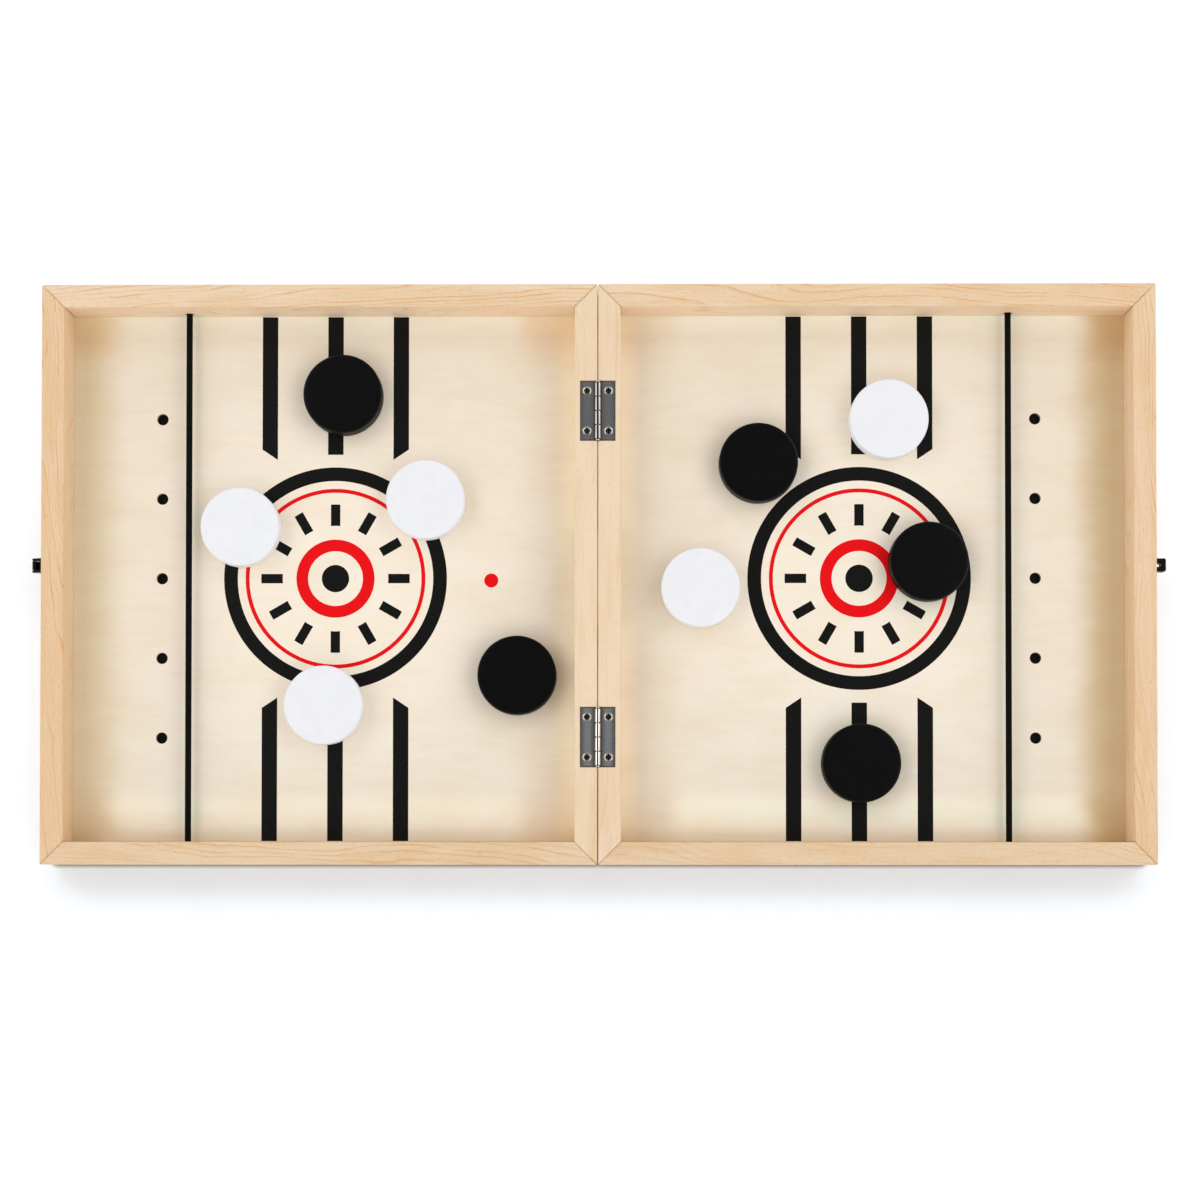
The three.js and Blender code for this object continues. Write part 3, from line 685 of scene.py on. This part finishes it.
def steel():
    """Rolled steel of the hinge leaves, brushed along the hinge and dull along the middle of each
    leaf. The knuckles are polished, with a painted dark reflection along the crown, dark joints and
    painted brown shade at their roots."""
    made, n = material("hinge_steel")
    x, y, z = n.split(n.place())
    brush = n.grain((x, y, z), (16.0, 0.35, 16.0), 3.0, 0.6)
    stain = n.grain((x, y, z), (0.5, 0.4, 0.5), 4.0, 0.6)
    flat = n.ramp(z, *LEAF_TOP_ZONE)
    knuckle = n.inverse(flat)
    out = n.size(x)
    worn = n.ramp(n.gap(out, LEAF_MIDDLE), *LEAF_WORN_ZONE, 1.0, 0.0)
    rough = n.plus(n.ramp(brush, 0.2, 0.8, 0.14, 0.2), n.ramp(stain, 0.4, 0.7, 0.0, 0.05))
    rough = n.plus(rough, n.times(worn, n.ramp(y, -60.0, 60.0, 0.125, 0.055)))
    rough = n.times(rough, n.ramp(flat, 0.0, 1.0, 0.4, 1.0))
    colour = n.mix(n.ramp(stain, 0.35, 0.7), linear(214, 216, 219), linear(197, 199, 202))
    colour = n.mix(knuckle, colour, linear(252, 251, 248))
    # Painted dark reflection along the crown of each knuckle
    half = n.ramp(y, -40.0, 40.0, *REFLECTION_HALVES)
    crown_reflection = n.ramp(out, n.plus(half, -REFLECTION_BLUR), n.plus(half, REFLECTION_BLUR), 1.0, 0.0)
    colour = n.tint(n.times(crown_reflection, knuckle), colour, (0.05, 0.06, 0.07, 1))
    along = n.minus(n.size(y), HINGE_PLACE)
    joint = n.near(n.wrap(along, KNUCKLE_PITCH), 0.0, KNUCKLE_JOINT_HALF)
    colour = n.tint(n.times(joint, knuckle), colour, (0.2, 0.12, 0.08, 1))
    # Painted brown shade at the root of each knuckle, along the gap beside it
    root_shade = n.near(out, KNUCKLE_ROOT, KNUCKLE_ROOT_HALF)
    colour = n.tint(n.times(root_shade, 0.8), colour, (0.55, 0.36, 0.24, 1))
    relief = n.bump(n.times(brush, flat), 0.008 * MM)
    n.surface(base_color=colour, metallic=1.0, roughness=rough, normal=relief)
    return made


def bright_steel():
    """Plated steel of the hinge pins and screws: faint handling marks. Each screw head is darkened
    round its edge and in its middle by dirt and painted shade, which leaves a bright ring as a painted
    highlight, and its cross recess is painted dark as shade."""
    made, n = material("bright_steel")
    mark = n.noise(n.place(), 4.0, 0.65, scale=1.6)
    colour = n.mix(n.ramp(mark, 0.4, 0.7), linear(220, 216, 204), linear(198, 190, 174))
    x, y, z = n.split(n.place())
    aside = n.minus(n.size(x), SCREW_ACROSS)
    hop = n.minus(n.gap(n.size(y), HINGE_PLACE), SCREW_ALONG)
    reach = n.distance(aside, hop)
    inside, outside = HIGHLIGHT_RING
    ring = n.times(n.ramp(reach, *inside), n.ramp(reach, *outside, 1.0, 0.0))
    on_screw = n.below(reach, SCREW_REACH)
    # Dirt and painted shade over the head, except on the painted highlight ring
    dirt_and_shade = n.times(on_screw, n.ramp(ring, 0.0, 1.0, n.ramp(mark, 0.35, 0.6, 0.9, 0.55), 0.0))
    colour = n.mix(dirt_and_shade, colour, linear(84, 70, 56))
    # Painted shade in the cross recess
    recess_shade = n.times(on_screw, n.below(z, RECESS_TOP))
    colour = n.mix(recess_shade, colour, linear(66, 58, 50))
    rough = n.ramp(mark, 0.35, 0.75, 0.14, 0.26)
    n.surface(base_color=colour, metallic=1.0, roughness=rough, normal=n.bump(mark, 0.01 * MM))
    return made


def black_metal():
    """Black lacquered metal of the latch, rubbed brown in places."""
    made, n = material("black_latch")
    rub = n.noise(n.place(), 4.0, 0.6, scale=0.9)
    fine = n.noise(n.place(), 2.0, 0.5, scale=9.0)
    colour = n.mix(n.ramp(rub, 0.5, 0.72), linear(6, 6, 6), linear(20, 16, 13))
    rough = n.ramp(rub, 0.3, 0.7, 0.3, 0.48)
    relief = n.bump(fine, 0.012 * MM)
    n.surface(
        base_color=colour, roughness=rough, specular_ior_level=0.12,
        coat_weight=0.01, coat_roughness=0.2, normal=relief,
    )
    return made


# Paint of the pucks and yarn of the cords
PUCK_TOP = 1000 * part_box("black_puck_1")[1].z
PUCK_WALL = (PUCK_TOP - 0.2, PUCK_TOP - 1.2)
# Painted reflection: a warm tint on the reflections from the wall of a puck
WALL_REFLECTION_TINT = (1, 0.84, 0.66, 1)
BLACK_PAINTS = (linear(10, 10, 10), linear(8, 8, 8))
WHITE_PAINTS = (linear(243, 244, 248), linear(240, 241, 246))


def painted(name, paints, matt, shine):
    """Turned wooden pucks with a fine sprayed paint, duller on the wall than on the faces. The wall's
    reflections are tinted warm, as a painted reflection of the pale floor.
    """
    made, n = material(name)
    spray = n.noise(n.place(), 3.0, 0.55, scale=3.4)
    mist = n.noise(n.place(), 2.0, 0.5, scale=0.14)
    colour = n.mix(n.ramp(mist, 0.3, 0.7), *paints)
    _, _, z = n.split(n.place())
    wall = n.ramp(z, *PUCK_WALL)
    rough = n.plus(n.ramp(spray, 0.25, 0.75, matt, matt + 0.08), n.times(wall, 0.25))
    # Painted reflection: the wall's reflections are tinted warm
    wall_reflection = n.mix(wall, WHITE, WALL_REFLECTION_TINT)
    relief = n.bump(spray, 0.003 * MM)
    n.surface(
        base_color=colour, roughness=rough, specular_ior_level=shine,
        specular_tint=wall_reflection, normal=relief,
    )
    return made


def braid_cloth():
    """Black elastic yarn, fuzzy and dull."""
    made, n = material("elastic_cord")
    yarn = n.noise(n.place(), 3.0, 0.6, scale=7.0)
    colour = n.mix(n.ramp(yarn, 0.3, 0.75), linear(3, 3, 3), linear(9, 9, 8))
    relief = n.bump(yarn, 0.05 * MM)
    n.surface(
        base_color=colour, roughness=0.82, specular_ior_level=0.12,
        sheen_weight=0.02, sheen_roughness=0.5, normal=relief,
    )
    return made


# Shapes of the pucks and cords
def new_piece(name, points, faces, made):
    mesh = bpy.data.meshes.new(name)
    mesh.from_pydata(points, [], faces)
    mesh.validate()
    mesh.materials.append(made)
    mesh.shade_smooth()
    piece = bpy.data.objects.new(name, mesh)
    bpy.context.scene.collection.objects.link(piece)
    return piece


def angles(count):
    """The angles of points that are spread evenly round a circle."""
    return [2 * math.pi * i / count for i in range(count)]


def wall_faces(rings, sides, looped=False):
    """The faces from each ring of points to the next, and back to the first where it is a loop."""
    faces = []
    for i in range(rings if looped else rings - 1):
        here, ahead = i * sides, (i + 1) % rings * sides
        for j in range(sides):
            k = (j + 1) % sides
            faces.append((here + j, here + k, ahead + k, ahead + j))
    return faces


def closed_faces(rings, sides):
    """The faces from each ring of points to the next, and a cap on the first and the last ring."""
    last = (rings - 1) * sides
    caps = [tuple(reversed(range(sides))), tuple(range(last, last + sides))]
    return wall_faces(rings, sides) + caps


PUCK_SIDES = 128
PUCK_EDGE = 0.8 * MM
PUCK_EDGE_STEPS = 7
FACE_RINGS = (0.45, 0.85)


def turned_puck(node, made):
    """A puck with finely rounded edges, in the place of the CAD model's."""
    low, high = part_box(node)
    middle = (low + high) / 2
    radius, half = (high.x - low.x) / 2, (high.z - low.z) / 2
    profile = [(share * radius, -half) for share in FACE_RINGS]
    for corner, start in ((-half + PUCK_EDGE, -90), (half - PUCK_EDGE, 0)):
        for i in range(PUCK_EDGE_STEPS + 1):
            turn = math.radians(start + 90 * i / PUCK_EDGE_STEPS)
            reach = radius - PUCK_EDGE + PUCK_EDGE * math.cos(turn)
            profile.append((reach, corner + PUCK_EDGE * math.sin(turn)))
    profile += [(share * radius, half) for share in reversed(FACE_RINGS)]
    points = []
    for reach, height in profile:
        for turn in angles(PUCK_SIDES):
            points.append(middle + Vector((reach * math.cos(turn), reach * math.sin(turn), height)))
    piece = new_piece(node + "_turned", points, closed_faces(len(profile), PUCK_SIDES), made)
    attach(piece, node)
    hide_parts(node)


CORD_RADIUS = 1.6 * MM
CORD_KNOT_ROOM = 5.2 * MM
CORD_SIDES = 32
CORD_STEP = 0.4 * MM
YARNS = 8
YARN_TURN = 1.9
YARN_RISE = 0.06


def braided_radius(along, turn):
    """The braid's two sets of yarns stand proud where either crosses over the other."""
    twist = along / (CORD_RADIUS * YARN_TURN)
    right = math.cos(YARNS * (turn + twist) / 2)
    left = math.cos(YARNS * (turn - twist) / 2)
    rise = max(abs(right), abs(left)) - 0.5
    return CORD_RADIUS * (1 - YARN_RISE + YARN_RISE * rise * 2)


def braided_cord(side, made):
    """A sling cord with a knot at each end, in the place of the CAD model's."""
    node = side + "_sling_cord"
    low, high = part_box(node)
    middle = (low + high) / 2
    end = (high.y - low.y) / 2 - CORD_KNOT_ROOM
    count = int(2 * end / CORD_STEP)
    points = []
    for i in range(count + 1):
        along = -end + 2 * end * i / count
        for turn in angles(CORD_SIDES):
            reach = braided_radius(along, turn)
            points.append(middle + Vector((reach * math.cos(turn), along, -reach * math.sin(turn))))
    piece = new_piece(side + "_braided_cord", points, closed_faces(count + 1, CORD_SIDES), made)
    knots = [tied_knot(side, node, where, made) for where in ("near", "far")]
    for one in (piece, *knots):
        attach(one, side + "_tray")
    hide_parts(node)


KNOT_STEPS = 120
KNOT_SIDES = 16
KNOT_RADIUS = 1.0 * MM
KNOT_SEAT = 3.1 * MM
KNOT_SPREAD = 0.7176
KNOT_DEPTH = 0.85
KNOT_YARNS = 4
KNOT_YARN_TURNS = 6
KNOT_YARN_RISE = 0.05
LOOK_AHEAD = 0.01


def knot_line(turn):
    """An overhand knot's line, lying across the cord."""
    across = KNOT_SPREAD * (math.sin(turn) + 2 * math.sin(2 * turn))
    up = KNOT_SPREAD * (math.cos(turn) - 2 * math.cos(2 * turn))
    return Vector((across, KNOT_DEPTH * math.sin(3 * turn), up)) * MM


def tied_knot(side, node, where, made):
    """One of a cord's two knots, seated behind the rail."""
    low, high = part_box(node)
    middle = (low + high) / 2
    seat_place = high.y - KNOT_SEAT if where == "far" else low.y + KNOT_SEAT
    seat = Vector((middle.x, seat_place, middle.z))
    points = []
    for turn in angles(KNOT_STEPS):
        here, ahead = knot_line(turn), knot_line(turn + LOOK_AHEAD)
        along = (ahead - here).normalized()
        out = along.cross(Vector((0, 1, 0))).normalized()
        up = out.cross(along)
        for angle in angles(KNOT_SIDES):
            ripple = math.cos(KNOT_YARNS * (angle + KNOT_YARN_TURNS * turn))
            reach = KNOT_RADIUS * (1 + KNOT_YARN_RISE * ripple)
            aside, above = reach * math.cos(angle), reach * math.sin(angle)
            points.append(seat + here + out * aside + up * above)
    faces = wall_faces(KNOT_STEPS, KNOT_SIDES, looped=True)
    return new_piece(f"{side}_cord_knot_{where}", points, faces, made)


# Dressing of the CAD nodes
LEAF_EDGE = 0.08 * MM
PIN_EDGE = 0.06 * MM
LATCH_EDGE = 0.12 * MM
JOIN_DISTANCE = 0.002 * MM
SHARP_ANGLE = 30


def soften(node, width):
    """Joins the corners of a CAD node, rounds its sharp edges a little and keeps flat faces flat."""
    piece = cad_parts[node]
    piece.modifiers.new("join", "WELD").merge_threshold = JOIN_DISTANCE
    bevel = piece.modifiers.new("round", "BEVEL")
    bevel.width = width
    bevel.segments = 2
    bevel.limit_method = "ANGLE"
    bevel.angle_limit = math.radians(SHARP_ANGLE)
    piece.modifiers.new("flatten", "WEIGHTED_NORMAL").weight = 100


def dress(node, made):
    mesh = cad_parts[node].data
    mesh.materials.clear()
    mesh.materials.append(made)
    mesh.shade_smooth()


def main():
    make_camera()
    cloth = braid_cloth()
    for side in ("left", "right"):
        braided_cord(side, cloth)
    make_studio()
    for rail, timber in RAILS.items():
        dress(rail + "_rail", pine(rail + "_pine", *timber))
    for side, looks in FLOORS.items():
        dress(side + "_floor", plywood(side + "_plywood", **looks))
    leaf, plated, lacquer = steel(), bright_steel(), black_metal()
    paints = {
        "black": painted("black_puck", BLACK_PAINTS, 0.24, 0.17),
        "white": painted("white_puck", WHITE_PAINTS, 0.4, 0.15),
    }
    for node in sorted(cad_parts):
        if node.endswith("_leaf"):
            dress(node, leaf)
            soften(node, LEAF_EDGE)
        elif "_hinge_" in node:
            dress(node, plated)
            soften(node, PIN_EDGE)
        elif node.startswith(("latch", "keeper")):
            dress(node, lacquer)
            soften(node, LATCH_EDGE)
        elif "_puck_" in node:
            turned_puck(node, paints[node[:5]])


main()
